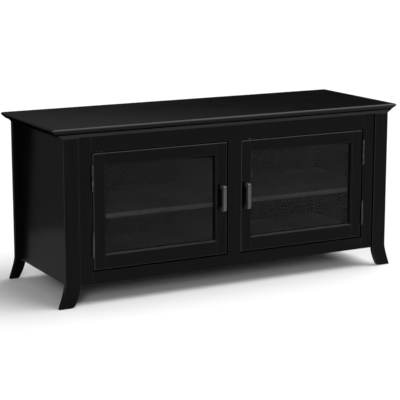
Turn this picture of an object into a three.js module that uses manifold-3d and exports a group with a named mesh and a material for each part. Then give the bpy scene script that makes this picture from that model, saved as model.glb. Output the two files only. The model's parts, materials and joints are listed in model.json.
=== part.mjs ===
import * as THREE from 'three';
import { mergeVertices } from 'three/addons/utils/BufferGeometryUtils.js';
import Module from 'manifold-3d';

// Media cabinet: a low console on sabre feet, with two framed glass doors on butt hinges.
// Millimetres. +X is to the right, +Y to the back, +Z up. The origin is on the floor,
// under the middle of the overall box, which the door pulls make deeper than the top.

// ---------------------------------------------------------------- driving dimensions

// Overall sizes.
const TOP_WIDTH = 1219;
const TOP_DEPTH = 427;
const HEIGHT = 543;

// Clearance left between glued or screwed faces.
const FIT = 0.3;

// How far cutting and joining shapes run past the faces that they cut or join.
const OVERSHOOT = 1;

// Top: a board whose underside is bevelled back from a thin rim, on a ring of mouldings.
const TOP_THICKNESS = 19;
const RIM_HEIGHT = 6;
const SIDE_UNDERCUT = 15;
const FRONT_UNDERCUT = 8;
const MOULDING_HEIGHT = 10;
const MOULDING_SIDE_TAPER = 14;
const MOULDING_FRONT_SETBACK = 4;
const MOULDING_BEHIND_FRAME_FACE = 17;
const MOULDING_HOLLOW_ACROSS = 0.2;
const MOULDING_HOLLOW_DOWN = 0.25;

// Legs: flat boards at the corners, whose feet sweep outwards to the sides. A bend height is
// where the straight edge above and the slope at the sole would meet.
const SIDE_OVERHANG = 32;
const LEG_SETBACK = 2;
const LEG_THICKNESS = 14;
const FRONT_LEG_WIDTH = 49.5;
const REAR_LEG_WIDTH = 36;
const FOOT_CURVE_TOP = 72;
const FOOT_FLARE = 21;
const FOOT_BEND_HEIGHT = 56;
const INNER_CURVE_TOP = 72;
const INNER_BEND_HEIGHT = 43;
const FRONT_INNER_FLARE = 19;
const REAR_INNER_FLARE = 22.5;
const SOLE_CORNER_HEIGHT = 7;
const FRONT_SOLE_ROUND = 13;
const REAR_SOLE_ROUND = 4;

// Side panels, set in a little from the legs' outer faces.
const SIDE_PANEL_THICKNESS = 16;
const SIDE_PANEL_RECESS = 5;
const SIDE_PANEL_BOTTOM = 70;

// Face frame, behind the plane of the legs.
const FRAME_SETBACK = 7;
const FRAME_THICKNESS = 20;
const FRAME_BOTTOM = 64;
const BOTTOM_RAIL_HEIGHT = 38.5;
const TOP_RAIL_HEIGHT = 48;
const SIDE_STILE_WIDTH = 42;
const CENTRE_STILE_WIDTH = 42;

// Carcass inside.
const BOTTOM_BOARD_THICKNESS = 18;
const PARTITION_THICKNESS = 18;
const BACK_PANEL_THICKNESS = 4;
const REAR_RAIL_HEIGHT = 55;
const CABLE_HOLE_RADIUS = 28;
const CABLE_HOLE_SIDES = 16;
const CABLE_HOLE_BELOW_OPENING = 52;

// Shelves on pins.
const SHELF_THICKNESS = 16;
const SHELF_SETBACK = 10;
const SHELF_END_GAP = 1.6;
const SHELF_BACK_GAP = 3;
const SHELF_NOTCH_WIDTH = 64;
const SHELF_NOTCH_DEPTH = 26;
const PIN_RADIUS = 2.5;
const PIN_SIDES = 10;
const PIN_HOLE_CLEARANCE = 0.2;
const PIN_IN_WALL = 7.5;
const PIN_OUT_OF_WALL = 10;
const PIN_FLANGE_RADIUS = 3.8;
const PIN_FLANGE_THICKNESS = 1;
const PIN_INSET = 42;
const PIN_ROW_PITCH = 32;
const PIN_ROW_OFFSETS = [-2, -1, 0, 1, 2];
const SHELF_ROW_OFFSET = -1;

// Doors.
const DOOR_THICKNESS = 20;
const DOOR_GAP = 2;
const DOOR_STILE_WIDTH = 44;
const DOOR_TOP_RAIL_HEIGHT = 44;
const DOOR_BOTTOM_RAIL_HEIGHT = 50;
const EDGE_BEVEL = 5;
const RABBET_WIDTH = 8;
const RABBET_FROM_FACE = 9;
const GLASS_THICKNESS = 4;
const GLASS_EDGE_GAP = 0.5;

// Butt hinges, whose knuckles stand in front of the doors.
const HINGE_LENGTH = 76;
const HINGE_KNUCKLES = 5;
const KNUCKLE_RADIUS = 3.3;
const KNUCKLE_GAP = 0.4;
const HINGE_PIN_RADIUS = 1.45;
const HINGE_PIN_CLEARANCE = 0.25;
const HINGE_TAB_CLEARANCE = 0.5;
const PIN_TIP_RADIUS = 2.7;
const PIN_TIP_HEIGHT = 2.6;
const PIN_TIP_FLAT = 0.6;
const PIN_TIP_SHOULDER = 0.55;
const LEAF_THICKNESS = 1.15;
const LEAF_DEPTH = 17;
const LEAF_SEAT_GAP = 0.1;
const HINGE_FROM_DOOR_TOP = 74;
const HINGE_FROM_DOOR_BOTTOM = 83;
const ROUND_SIDES = 16;

// Door pulls: short bows of flat section.
const PULL_LENGTH = 82;
const PULL_WIDTH = 12;
const PULL_REACH = 22;
const PULL_BAR = 10;
const PULL_FOOT = 12;
const PULL_OUTER_RADIUS = 9;
const PULL_INNER_RADIUS = 4;
const PULL_FROM_LATCH_EDGE = 21;
const PULL_ABOVE_MIDDLE = 3;

// Magnetic catches on the partition, and the strike plates they hold.
const STRIKE_THICKNESS = 1.2;
const STRIKE_WIDTH = 24;
const STRIKE_HEIGHT = 22;
const STRIKE_FROM_LATCH_EDGE = 22;
const CATCH_AIR_GAP = 0.4;
const CATCH_BODY_DEPTH = 14;
const CATCH_BODY_HEIGHT = 14;
const CATCH_POLE_LENGTH = 3;
const CATCH_POLE_HEIGHT = 3;
const CATCH_FROM_DOOR_TOP = 26;

// ---------------------------------------------------------------- places worked out

const caseHalf = TOP_WIDTH / 2 - SIDE_OVERHANG;
const pullOverTop = PULL_REACH - FRAME_SETBACK;
const topBack = (TOP_DEPTH + pullOverTop) / 2;
const topFront = topBack - TOP_DEPTH;
const legFront = topFront + LEG_SETBACK;
const legFrontBack = legFront + LEG_THICKNESS;
const rearLegFront = topBack - LEG_THICKNESS;
const frameFront = topFront + FRAME_SETBACK;
const frameBack = frameFront + FRAME_THICKNESS;

const topUnderside = HEIGHT - TOP_THICKNESS;
const caseTop = topUnderside - MOULDING_HEIGHT;
const openingBottom = FRAME_BOTTOM + BOTTOM_RAIL_HEIGHT;
const openingTop = caseTop - TOP_RAIL_HEIGHT;

const frontLegInner = caseHalf - FRONT_LEG_WIDTH;
const rearLegInner = caseHalf - REAR_LEG_WIDTH;
const panelOuter = caseHalf - SIDE_PANEL_RECESS;
const panelInner = panelOuter - SIDE_PANEL_THICKNESS;
const openingOuter = frontLegInner - FIT - SIDE_STILE_WIDTH;
const openingInner = CENTRE_STILE_WIDTH / 2;
const partitionHalf = PARTITION_THICKNESS / 2;
const backPanelBack = rearLegFront - FIT;
const backPanelFront = backPanelBack - BACK_PANEL_THICKNESS;

const hingeGap = 2 * (LEAF_THICKNESS + LEAF_SEAT_GAP) + FIT;
const doorOuter = openingOuter - hingeGap;
const doorInner = openingInner + DOOR_GAP;
const doorBottom = openingBottom + DOOR_GAP;
const doorTop = openingTop - DOOR_GAP;
const doorBack = frameFront + DOOR_THICKNESS;
const glassOpening = {
  inner: doorInner + DOOR_STILE_WIDTH,
  outer: doorOuter - DOOR_STILE_WIDTH,
  bottom: doorBottom + DOOR_BOTTOM_RAIL_HEIGHT,
  top: doorTop - DOOR_TOP_RAIL_HEIGHT,
};
const hingeAxis = (openingOuter + doorOuter) / 2;
const hingeAxisDepth = frameFront - KNUCKLE_RADIUS - FIT;

const bayMiddle = (openingBottom + openingTop) / 2;
const shelfPinHeight = bayMiddle + SHELF_ROW_OFFSET * PIN_ROW_PITCH;
const shelfBottom = shelfPinHeight + PIN_RADIUS + FIT;
const shelfTop = shelfBottom + SHELF_THICKNESS;
const shelfFront = frameBack + SHELF_SETBACK;
const shelfBack = backPanelFront - SHELF_BACK_GAP;
const pinRows = [shelfFront + PIN_INSET, shelfBack - PIN_INSET];

const SIDES = [
  { name: 'left', sign: -1 },
  { name: 'right', sign: 1 },
];

// ---------------------------------------------------------------- materials

function finish(color, roughness, metalness = 0) {
  return new THREE.MeshStandardMaterial({ color, roughness, metalness });
}

const blackLacquer = finish(0x16151a, 0.28);
const innerLacquer = finish(0x1c1b1e, 0.5);
const hardboard = finish(0x1a1918, 0.75);
const pewter = finish(0x8a8783, 0.35, 1);
const hingeSteel = finish(0xa5a29c, 0.32, 1);
const pinNickel = finish(0xb4b1aa, 0.3, 1);
const catchPlastic = finish(0x24211f, 0.55);
const clearGlass = finish(0xb9c4c2, 0.05);
clearGlass.transparent = true;
clearGlass.opacity = 0.3;

// ---------------------------------------------------------------- shapes

// A solid box between two corners. The two x values may come in either order.
function box(xa, xb, y0, y1, z0, z1) {
  const x0 = Math.min(xa, xb);
  const x1 = Math.max(xa, xb);
  const geometry = new THREE.BoxGeometry(x1 - x0, y1 - y0, z1 - z0);
  geometry.translate((x0 + x1) / 2, (y0 + y1) / 2, (z0 + z1) / 2);
  return geometry;
}

function shapeOf(outline) {
  if (outline instanceof THREE.Shape) return outline;
  return new THREE.Shape(outline.map(([a, b]) => new THREE.Vector2(a, b)));
}

function extruded(outline, length, curveSegments = 8) {
  return new THREE.ExtrudeGeometry(shapeOf(outline), {
    depth: length,
    bevelEnabled: false,
    curveSegments,
  });
}

// An outline of (y, z) points run along X.
function alongX(outline, x0, x1) {
  const geometry = extruded(outline, x1 - x0);
  const basis = new THREE.Matrix4().makeBasis(
    new THREE.Vector3(0, 1, 0),
    new THREE.Vector3(0, 0, 1),
    new THREE.Vector3(1, 0, 0),
  );
  return geometry.applyMatrix4(basis).translate(x0, 0, 0);
}

// An outline of (x, z) points run along Y.
function alongY(outline, y0, y1) {
  return extruded(outline, y1 - y0).rotateX(Math.PI / 2).translate(0, y1, 0);
}

// An outline of (x, y) points run along Z.
function alongZ(outline, z0, z1) {
  return extruded(outline, z1 - z0).translate(0, 0, z0);
}

// A round bar along X.
function roundAlongX(radius, x0, x1, y, z, sides) {
  const geometry = new THREE.CylinderGeometry(radius, radius, Math.abs(x1 - x0), sides);
  return geometry.rotateZ(Math.PI / 2).translate((x0 + x1) / 2, y, z);
}

// A round bar along Y.
function roundAlongY(radius, y0, y1, x, z, sides) {
  const geometry = new THREE.CylinderGeometry(radius, radius, y1 - y0, sides);
  return geometry.translate(x, (y0 + y1) / 2, z);
}

// A round bar along Z.
function roundAlongZ(radius, z0, z1, x, y, sides = ROUND_SIDES) {
  const geometry = new THREE.CylinderGeometry(radius, radius, z1 - z0, sides);
  return geometry.rotateX(Math.PI / 2).translate(x, y, (z0 + z1) / 2);
}

// ---------------------------------------------------------------- joining and cutting

const wasm = await Module();
wasm.setup();

function solidOf(geometry) {
  const bare = geometry.clone();
  bare.deleteAttribute('normal');
  bare.deleteAttribute('uv');
  const merged = mergeVertices(bare);
  return new wasm.Manifold(new wasm.Mesh({
    numProp: 3,
    vertProperties: new Float32Array(merged.attributes.position.array),
    triVerts: new Uint32Array(merged.index.array),
  }));
}

function geometryOf(solid) {
  const { vertProperties, triVerts } = solid.getMesh();
  const geometry = new THREE.BufferGeometry();
  geometry.setAttribute('position', new THREE.BufferAttribute(new Float32Array(vertProperties), 3));
  geometry.setIndex(new THREE.BufferAttribute(new Uint32Array(triVerts), 1));
  geometry.computeVertexNormals();
  return geometry;
}

function joined(...geometries) {
  return geometryOf(geometries.map(solidOf).reduce((sum, solid) => sum.add(solid)));
}

function cut(geometry, cutters) {
  return geometryOf(cutters.map(solidOf).reduce((rest, solid) => rest.subtract(solid), solidOf(geometry)));
}

// ---------------------------------------------------------------- the groups of nodes

const cabinet = new THREE.Group();
const carcass = new THREE.Group();
cabinet.add(carcass);

function place(group, name, geometry, material) {
  const mesh = new THREE.Mesh(geometry, material);
  mesh.name = name;
  group.add(mesh);
}

// ---------------------------------------------------------------- top and mouldings

function topBoard() {
  const half = TOP_WIDTH / 2;
  const rimBottom = HEIGHT - RIM_HEIGHT;
  const board = alongY([
    [-half, HEIGHT],
    [-half, rimBottom],
    [-half + SIDE_UNDERCUT, topUnderside],
    [half - SIDE_UNDERCUT, topUnderside],
    [half, rimBottom],
    [half, HEIGHT],
  ], topFront, topBack);
  const frontBevel = alongX([
    [topFront, rimBottom],
    [topFront + FRONT_UNDERCUT, topUnderside],
    [topFront + FRONT_UNDERCUT, topUnderside - OVERSHOOT],
    [topFront - OVERSHOOT, topUnderside - OVERSHOOT],
    [topFront - OVERSHOOT, rimBottom],
  ], -half - OVERSHOOT, half + OVERSHOOT);
  return cut(board, [frontBevel]);
}

const mouldingTop = topUnderside - FIT;
const mouldingBottom = caseTop + FIT;
const mouldingOuterTop = TOP_WIDTH / 2 - SIDE_UNDERCUT;
const mouldingOuterBottom = mouldingOuterTop - MOULDING_SIDE_TAPER;
const frontMouldingBack = frameFront + MOULDING_BEHIND_FRAME_FACE;

// The hollow side of a moulding bends at this point on its way between its two edges.
const hollowBend = [
  mouldingOuterBottom + MOULDING_HOLLOW_ACROSS * MOULDING_SIDE_TAPER,
  mouldingTop - MOULDING_HOLLOW_DOWN * MOULDING_HEIGHT,
];

// The front moulding's two ends carry on the side mouldings' slope.
function frontMoulding() {
  const [bendX, bendZ] = hollowBend;
  const shape = new THREE.Shape();
  shape.moveTo(-mouldingOuterTop, mouldingTop);
  shape.quadraticCurveTo(-bendX, bendZ, -mouldingOuterBottom, mouldingBottom);
  shape.lineTo(mouldingOuterBottom, mouldingBottom);
  shape.quadraticCurveTo(bendX, bendZ, mouldingOuterTop, mouldingTop);
  shape.closePath();
  return alongY(shape, topFront + MOULDING_FRONT_SETBACK, frontMouldingBack);
}

function sideMoulding(sign) {
  const [bendX, bendZ] = hollowBend;
  const shape = new THREE.Shape();
  shape.moveTo(sign * panelInner, mouldingTop);
  shape.lineTo(sign * panelInner, mouldingBottom);
  shape.lineTo(sign * mouldingOuterBottom, mouldingBottom);
  shape.quadraticCurveTo(sign * bendX, bendZ, sign * mouldingOuterTop, mouldingTop);
  shape.closePath();
  return alongY(shape, frontMouldingBack + FIT, topBack);
}

place(carcass, 'top_board', topBoard(), blackLacquer);
place(carcass, 'moulding_front', frontMoulding(), blackLacquer);
for (const { name, sign } of SIDES) {
  place(carcass, `moulding_${name}`, sideMoulding(sign), blackLacquer);
}

// ---------------------------------------------------------------- legs

// A leg's outline from the front: straight down, then swept outwards to its sole.
function legOutline(sign, inner, innerFlare, soleRound) {
  const at = (x, z) => [sign * x, z];
  const shape = new THREE.Shape();
  shape.moveTo(...at(inner, caseTop));
  shape.lineTo(...at(inner, INNER_CURVE_TOP));
  shape.quadraticCurveTo(
    ...at(inner, INNER_BEND_HEIGHT),
    ...at(inner + innerFlare, SOLE_CORNER_HEIGHT),
  );
  const lastSlope = innerFlare / (INNER_BEND_HEIGHT - SOLE_CORNER_HEIGHT);
  const soleCorner = inner + innerFlare + lastSlope * SOLE_CORNER_HEIGHT;
  shape.quadraticCurveTo(...at(soleCorner, 0), ...at(soleCorner + soleRound, 0));
  shape.lineTo(...at(caseHalf + FOOT_FLARE, 0));
  shape.quadraticCurveTo(
    ...at(caseHalf, FOOT_BEND_HEIGHT),
    ...at(caseHalf, FOOT_CURVE_TOP),
  );
  shape.lineTo(...at(caseHalf, caseTop));
  shape.closePath();
  return shape;
}

for (const { name, sign } of SIDES) {
  const front = legOutline(sign, frontLegInner, FRONT_INNER_FLARE, FRONT_SOLE_ROUND);
  const rear = legOutline(sign, rearLegInner, REAR_INNER_FLARE, REAR_SOLE_ROUND);
  place(carcass, `leg_front_${name}`, alongY(front, legFront, legFrontBack), blackLacquer);
  place(carcass, `leg_rear_${name}`, alongY(rear, rearLegFront, topBack), blackLacquer);
}

// ---------------------------------------------------------------- side panels and partition

// The blind holes for shelf pins in one face of a wall that stands at x, seen from the bay on
// the side that `intoWall` points away from.
function pinHoles(x, intoWall) {
  const holes = [];
  for (const y of pinRows) {
    for (const offset of PIN_ROW_OFFSETS) {
      const z = bayMiddle + offset * PIN_ROW_PITCH;
      holes.push(roundAlongX(
        PIN_RADIUS + PIN_HOLE_CLEARANCE,
        x - intoWall * OVERSHOOT,
        x + intoWall * (PIN_IN_WALL + FIT),
        y, z, PIN_SIDES,
      ));
    }
  }
  return holes;
}

function sidePanel(sign) {
  const panel = box(
    sign * panelInner, sign * panelOuter,
    legFrontBack + FIT, rearLegFront - FIT,
    SIDE_PANEL_BOTTOM, caseTop,
  );
  return cut(panel, pinHoles(sign * panelInner, sign));
}

function centrePartition() {
  const partition = box(
    -partitionHalf, partitionHalf,
    frameBack + FIT, backPanelFront - FIT,
    openingBottom + FIT, topUnderside - FIT,
  );
  return cut(partition, [...pinHoles(partitionHalf, -1), ...pinHoles(-partitionHalf, 1)]);
}

for (const { name, sign } of SIDES) {
  place(carcass, `side_panel_${name}`, sidePanel(sign), blackLacquer);
}
place(carcass, 'centre_partition', centrePartition(), innerLacquer);

// ---------------------------------------------------------------- face frame

const railHalf = openingOuter - FIT;
place(carcass, 'frame_top_rail',
  box(-railHalf, railHalf, frameFront, frameBack, openingTop, caseTop), blackLacquer);
place(carcass, 'frame_bottom_rail',
  box(-railHalf, railHalf, frameFront, frameBack, FRAME_BOTTOM, openingBottom), blackLacquer);
place(carcass, 'frame_centre_stile',
  box(-openingInner, openingInner, frameFront, frameBack, openingBottom + FIT, openingTop - FIT),
  blackLacquer);
for (const { name, sign } of SIDES) {
  const stile = box(
    sign * openingOuter, sign * (frontLegInner - FIT),
    frameFront, frameBack,
    FRAME_BOTTOM, caseTop,
  );
  place(carcass, `frame_stile_${name}`, stile, blackLacquer);
}

// ---------------------------------------------------------------- bottom, back and rear rails

const insideHalf = panelInner - FIT;
const bayCentre = (partitionHalf + panelInner) / 2;
const cableHoleHeight = openingTop - CABLE_HOLE_BELOW_OPENING;

function backPanel() {
  const panel = box(
    -insideHalf, insideHalf,
    backPanelFront, backPanelBack,
    openingBottom + FIT, topUnderside - FIT,
  );
  const holes = SIDES.map(({ sign }) => roundAlongY(
    CABLE_HOLE_RADIUS, backPanelFront - OVERSHOOT, backPanelBack + OVERSHOOT,
    sign * bayCentre, cableHoleHeight, CABLE_HOLE_SIDES,
  ));
  return cut(panel, holes);
}

place(carcass, 'bottom_board',
  box(-insideHalf, insideHalf, frameBack + FIT, backPanelBack,
    openingBottom - BOTTOM_BOARD_THICKNESS, openingBottom),
  innerLacquer);
place(carcass, 'back_panel', backPanel(), hardboard);

const rearRailHalf = rearLegInner - FIT;
const rearRails = [
  { name: 'rear_rail_lower', bottom: SIDE_PANEL_BOTTOM },
  { name: 'rear_rail_upper', bottom: topUnderside - FIT - REAR_RAIL_HEIGHT },
];
for (const { name, bottom } of rearRails) {
  const rail = box(
    -rearRailHalf, rearRailHalf,
    rearLegFront, topBack,
    bottom, bottom + REAR_RAIL_HEIGHT,
  );
  place(carcass, name, rail, innerLacquer);
}

// ---------------------------------------------------------------- shelves and their pins

// A pin that sticks out of a wall at x, with a thin flange on the wall's face.
function shelfPin(x, outOfWall, y) {
  const shank = roundAlongX(
    PIN_RADIUS, x - outOfWall * PIN_IN_WALL, x + outOfWall * PIN_OUT_OF_WALL,
    y, shelfPinHeight, PIN_SIDES,
  );
  const flangeFace = x + outOfWall * FIT;
  const flange = roundAlongX(
    PIN_FLANGE_RADIUS, flangeFace, flangeFace + outOfWall * PIN_FLANGE_THICKNESS,
    y, shelfPinHeight, PIN_SIDES,
  );
  return joined(shank, flange);
}

// A shelf with a notch in its back edge, where cables pass from one level to the other.
function shelf(sign) {
  const board = box(
    sign * (partitionHalf + SHELF_END_GAP), sign * (panelInner - SHELF_END_GAP),
    shelfFront, shelfBack,
    shelfBottom, shelfTop,
  );
  const notch = box(
    sign * bayCentre - SHELF_NOTCH_WIDTH / 2, sign * bayCentre + SHELF_NOTCH_WIDTH / 2,
    shelfBack - SHELF_NOTCH_DEPTH, shelfBack + OVERSHOOT,
    shelfBottom - OVERSHOOT, shelfTop + OVERSHOOT,
  );
  return cut(board, [notch]);
}

const pinRowNames = ['front', 'back'];
for (const { name, sign } of SIDES) {
  place(carcass, `shelf_${name}`, shelf(sign), innerLacquer);
  pinRows.forEach((y, row) => {
    const label = `${name}_${pinRowNames[row]}`;
    place(carcass, `shelf_pin_${label}_inner`, shelfPin(sign * partitionHalf, sign, y), pinNickel);
    place(carcass, `shelf_pin_${label}_outer`, shelfPin(sign * panelInner, -sign, y), pinNickel);
  });
}

// ---------------------------------------------------------------- magnetic catches

const catchFront = doorBack + FIT + STRIKE_THICKNESS + CATCH_AIR_GAP;
const catchHeight = doorTop - CATCH_FROM_DOOR_TOP;
const strikeCentre = doorInner + STRIKE_FROM_LATCH_EDGE;

// A plastic block on the partition, whose two steel poles face the strike plate.
function magneticCatch(sign) {
  const bodyFront = catchFront + CATCH_POLE_LENGTH;
  const body = box(
    sign * (partitionHalf + FIT), sign * (strikeCentre + STRIKE_WIDTH / 2),
    bodyFront, bodyFront + CATCH_BODY_DEPTH,
    catchHeight - CATCH_BODY_HEIGHT / 2, catchHeight + CATCH_BODY_HEIGHT / 2,
  );
  const poles = [-1, 1].map((level) => {
    const middle = catchHeight + level * (CATCH_BODY_HEIGHT / 4);
    return box(
      sign * (strikeCentre - STRIKE_WIDTH / 2), sign * (strikeCentre + STRIKE_WIDTH / 2 - OVERSHOOT),
      catchFront, bodyFront + OVERSHOOT,
      middle - CATCH_POLE_HEIGHT / 2, middle + CATCH_POLE_HEIGHT / 2,
    );
  });
  return joined(body, ...poles);
}

for (const { name, sign } of SIDES) {
  place(carcass, `magnetic_catch_${name}`, magneticCatch(sign), catchPlastic);
}

// ---------------------------------------------------------------- hinges

const knuckleLength = HINGE_LENGTH / HINGE_KNUCKLES;
const leafStart = KNUCKLE_RADIUS + FIT;

// One leaf: a plate in the gap beside the door, and every second knuckle of the barrel.
// `side` is +1 for the leaf on the +X side of the barrel. `first` is its lowest knuckle.
function hingeLeaf(x, side, bottom, first) {
  const plateInner = x + side * (FIT / 2);
  const plateOuter = plateInner + side * LEAF_THICKNESS;
  const pieces = [box(
    plateInner, plateOuter,
    hingeAxisDepth + leafStart, hingeAxisDepth + leafStart + LEAF_DEPTH,
    bottom, bottom + HINGE_LENGTH,
  )];
  const bores = [];
  const tabStart = HINGE_PIN_RADIUS + HINGE_PIN_CLEARANCE + HINGE_TAB_CLEARANCE;
  for (let knuckle = first; knuckle < HINGE_KNUCKLES; knuckle += 2) {
    const z0 = bottom + knuckle * knuckleLength + (knuckle === 0 ? 0 : KNUCKLE_GAP / 2);
    const last = knuckle === HINGE_KNUCKLES - 1;
    const z1 = bottom + (knuckle + 1) * knuckleLength - (last ? 0 : KNUCKLE_GAP / 2);
    pieces.push(roundAlongZ(KNUCKLE_RADIUS, z0, z1, x, hingeAxisDepth));
    pieces.push(box(
      plateInner, plateOuter,
      hingeAxisDepth + tabStart, hingeAxisDepth + leafStart + OVERSHOOT,
      z0, z1,
    ));
    bores.push(roundAlongZ(
      HINGE_PIN_RADIUS + HINGE_PIN_CLEARANCE, z0 - OVERSHOOT, z1 + OVERSHOOT, x, hingeAxisDepth,
    ));
  }
  return cut(joined(...pieces), bores);
}

// The pin, with a turned tip above and below the barrel. Its profile is turned about Z.
function hingePin(x, bottom) {
  const tipBase = HINGE_LENGTH + FIT;
  const profile = [
    [0, -FIT - PIN_TIP_HEIGHT],
    [PIN_TIP_FLAT * PIN_TIP_RADIUS, -FIT - PIN_TIP_HEIGHT],
    [PIN_TIP_RADIUS, -FIT - PIN_TIP_SHOULDER * PIN_TIP_HEIGHT],
    [PIN_TIP_RADIUS, -FIT],
    [HINGE_PIN_RADIUS, -FIT],
    [HINGE_PIN_RADIUS, tipBase],
    [PIN_TIP_RADIUS, tipBase],
    [PIN_TIP_RADIUS, tipBase + PIN_TIP_SHOULDER * PIN_TIP_HEIGHT],
    [PIN_TIP_FLAT * PIN_TIP_RADIUS, tipBase + PIN_TIP_HEIGHT],
    [0, tipBase + PIN_TIP_HEIGHT],
  ].map(([radius, height]) => new THREE.Vector2(radius, height));
  const geometry = new THREE.LatheGeometry(profile, ROUND_SIDES);
  return geometry.rotateX(Math.PI / 2).translate(x, hingeAxisDepth, bottom);
}

const hingeBottoms = {
  top: doorTop - HINGE_FROM_DOOR_TOP - HINGE_LENGTH / 2,
  bottom: doorBottom + HINGE_FROM_DOOR_BOTTOM - HINGE_LENGTH / 2,
};

// ---------------------------------------------------------------- doors

// The section of a door member from its outer edge to its glass edge, as [across, depth]
// points: bevelled at the front, with a rabbet for the glass behind. `grow` makes the
// larger section that cuts the coped ends of the rails.
function memberSection(outer, inner, grow = 0) {
  const toOuter = Math.sign(outer - inner);
  const lip = inner - toOuter * grow;
  const front = frameFront - grow;
  const bevelShift = grow * Math.SQRT2 - grow;
  return [
    [outer, front],
    [outer, doorBack + grow],
    [inner + toOuter * (RABBET_WIDTH - grow), doorBack + grow],
    [inner + toOuter * (RABBET_WIDTH - grow), frameFront + RABBET_FROM_FACE + grow],
    [lip, frameFront + RABBET_FROM_FACE + grow],
    [lip, frameFront + EDGE_BEVEL - bevelShift],
    [inner + toOuter * (EDGE_BEVEL - bevelShift), front],
  ];
}

function doorStile(sign, outer, inner, grow = 0) {
  const section = memberSection(outer, inner, grow).map(([across, depth]) => [sign * across, depth]);
  return alongZ(section, doorBottom - grow, doorTop + grow);
}

// A rail runs on into the stiles' bevels and rabbets, and is coped to them.
function doorRail(sign, outerHeight, innerHeight) {
  const section = memberSection(outerHeight, innerHeight).map(([height, depth]) => [depth, height]);
  const ends = [
    sign * (glassOpening.inner - RABBET_WIDTH),
    sign * (glassOpening.outer + RABBET_WIDTH),
  ];
  const rail = alongX(section, Math.min(...ends), Math.max(...ends));
  return cut(rail, [
    doorStile(sign, doorInner, glassOpening.inner, FIT),
    doorStile(sign, doorOuter, glassOpening.outer, FIT),
  ]);
}

const rabbetDepth = frameFront + RABBET_FROM_FACE;
const glassBack = rabbetDepth + FIT + GLASS_THICKNESS;

function glassPane(sign) {
  const lap = RABBET_WIDTH - GLASS_EDGE_GAP;
  return box(
    sign * (glassOpening.inner - lap), sign * (glassOpening.outer + lap),
    rabbetDepth + FIT, glassBack,
    glassOpening.bottom - lap, glassOpening.top + lap,
  );
}

// One mitred frame of thin strips that holds the glass in the rabbet from behind.
function glazingBead(sign) {
  const lap = RABBET_WIDTH - GLASS_EDGE_GAP;
  const start = glassBack + FIT;
  const slab = box(
    sign * (glassOpening.inner - lap), sign * (glassOpening.outer + lap),
    start, doorBack,
    glassOpening.bottom - lap, glassOpening.top + lap,
  );
  const window = box(
    sign * glassOpening.inner, sign * glassOpening.outer,
    start - OVERSHOOT, doorBack + OVERSHOOT,
    glassOpening.bottom, glassOpening.top,
  );
  return cut(slab, [window]);
}

function roundedEnd(shape, cornerX, cornerZ, radius, towards) {
  shape.lineTo(cornerX, cornerZ - towards * radius);
  shape.quadraticCurveTo(cornerX, cornerZ, cornerX + radius, cornerZ);
}

// The pull from the side, in (y, z): a bar held off the door by a foot at each end.
function doorPull(sign) {
  const half = PULL_LENGTH / 2;
  const middle = (doorBottom + doorTop) / 2 + PULL_ABOVE_MIDDLE;
  const back = frameFront - FIT;
  const face = frameFront - PULL_REACH;
  const bar = face + PULL_BAR;
  const gapHalf = half - PULL_FOOT;
  const shape = new THREE.Shape();
  shape.moveTo(back, middle - half);
  shape.lineTo(face + PULL_OUTER_RADIUS, middle - half);
  shape.quadraticCurveTo(face, middle - half, face, middle - half + PULL_OUTER_RADIUS);
  roundedEnd(shape, face, middle + half, PULL_OUTER_RADIUS, 1);
  shape.lineTo(back, middle + half);
  shape.lineTo(back, middle + gapHalf);
  shape.lineTo(bar + PULL_INNER_RADIUS, middle + gapHalf);
  shape.quadraticCurveTo(bar, middle + gapHalf, bar, middle + gapHalf - PULL_INNER_RADIUS);
  roundedEnd(shape, bar, middle - gapHalf, PULL_INNER_RADIUS, -1);
  shape.lineTo(back, middle - gapHalf);
  shape.closePath();
  const centre = sign * (doorInner + PULL_FROM_LATCH_EDGE);
  return alongX(shape, centre - PULL_WIDTH / 2, centre + PULL_WIDTH / 2);
}

function strikePlate(sign) {
  return box(
    sign * (strikeCentre - STRIKE_WIDTH / 2), sign * (strikeCentre + STRIKE_WIDTH / 2),
    doorBack + FIT, doorBack + FIT + STRIKE_THICKNESS,
    catchHeight - STRIKE_HEIGHT / 2, catchHeight + STRIKE_HEIGHT / 2,
  );
}

for (const { name, sign } of SIDES) {
  const door = new THREE.Group();
  cabinet.add(door);
  place(door, `door_${name}_hinge_stile`,
    doorStile(sign, doorOuter, glassOpening.outer), blackLacquer);
  place(door, `door_${name}_latch_stile`,
    doorStile(sign, doorInner, glassOpening.inner), blackLacquer);
  place(door, `door_${name}_top_rail`,
    doorRail(sign, doorTop, glassOpening.top), blackLacquer);
  place(door, `door_${name}_bottom_rail`,
    doorRail(sign, doorBottom, glassOpening.bottom), blackLacquer);
  place(door, `door_${name}_glass`, glassPane(sign), clearGlass);
  place(door, `door_${name}_glazing_bead`, glazingBead(sign), blackLacquer);
  place(door, `door_${name}_pull`, doorPull(sign), pewter);
  place(door, `door_${name}_strike_plate`, strikePlate(sign), pinNickel);
  for (const [level, bottom] of Object.entries(hingeBottoms)) {
    const x = sign * hingeAxis;
    const label = `${name}_${level}`;
    place(carcass, `hinge_${label}_frame_leaf`, hingeLeaf(x, sign, bottom, 0), hingeSteel);
    place(door, `hinge_${label}_door_leaf`, hingeLeaf(x, -sign, bottom, 1), hingeSteel);
    place(carcass, `hinge_${label}_pin`, hingePin(x, bottom), hingeSteel);
  }
}

export default cabinet;
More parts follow.
